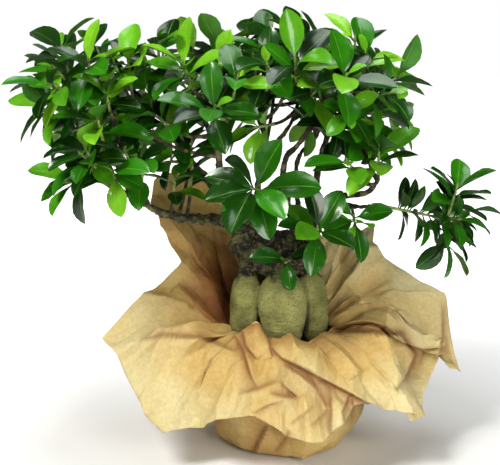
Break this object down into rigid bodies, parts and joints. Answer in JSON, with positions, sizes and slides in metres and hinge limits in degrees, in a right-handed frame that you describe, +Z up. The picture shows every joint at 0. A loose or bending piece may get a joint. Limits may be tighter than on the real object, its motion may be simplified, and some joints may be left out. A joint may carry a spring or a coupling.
{
  "type": "ficus bonsai",
  "caption": "Ginseng-rooted ficus bonsai in a plain pot of soil, gathered in a sheet of brown wrapping paper that falls open in four corners.",
  "frame": {"origin": "centre of the flat resting base on the ground, on the pot's axis", "axes": "+Z up along the pot's axis, -Y towards the front that the picture shows, +X to the viewer's right"},
  "size_m": [0.6195, 0.3806, 0.5708],
  "materials": {
    "paper": "matt brown kraft wrapping paper, creased",
    "pot": "plain dark brown nursery pot",
    "soil": "dark crumbly potting soil",
    "bark": "olive-grey bark with fine horizontal wrinkles, darker and rougher above the roots",
    "leaf": "glossy leathery green leaves with paler undersides"
  },
  "bodies": {
    "root": {"pot": "pot", "soil": "soil", "wrap": "paper", "plant": "bark", "shoot_left_01": "leaf", "shoot_left_02": "leaf", "shoot_left_03": "leaf", "shoot_left_04": "leaf", "shoot_left_05": "leaf", "shoot_left_06": "leaf", "shoot_left_07": "leaf", "shoot_left_08": "leaf", "shoot_left_09": "leaf", "shoot_left_10": "leaf", "shoot_left_11": "leaf", "shoot_left_12": "leaf", "shoot_left_13": "leaf", "shoot_left_14": "leaf", "shoot_left_15": "leaf", "shoot_left_16": "leaf", "shoot_left_17": "leaf", "shoot_left_18": "leaf", "shoot_left_19": "leaf", "shoot_middle_01": "leaf", "shoot_middle_02": "leaf", "shoot_middle_03": "leaf", "shoot_middle_04": "leaf", "shoot_middle_05": "leaf", "shoot_middle_06": "leaf", "shoot_middle_07": "leaf", "shoot_middle_08": "leaf", "shoot_middle_09": "leaf", "shoot_middle_10": "leaf", "shoot_middle_11": "leaf", "shoot_middle_12": "leaf", "shoot_middle_13": "leaf", "shoot_right_01": "leaf", "shoot_right_02": "leaf", "shoot_right_03": "leaf", "shoot_right_04": "leaf", "shoot_right_05": "leaf", "shoot_right_06": "leaf", "shoot_right_07": "leaf", "shoot_right_08": "leaf", "shoot_right_09": "leaf", "shoot_right_10": "leaf", "shoot_right_11": "leaf", "shoot_right_12": "leaf", "shoot_right_13": "leaf", "shoot_heart_01": "leaf", "shoot_heart_02": "leaf", "shoot_heart_03": "leaf", "shoot_heart_04": "leaf", "shoot_reach": "leaf"}
  },
  "joints": []
}
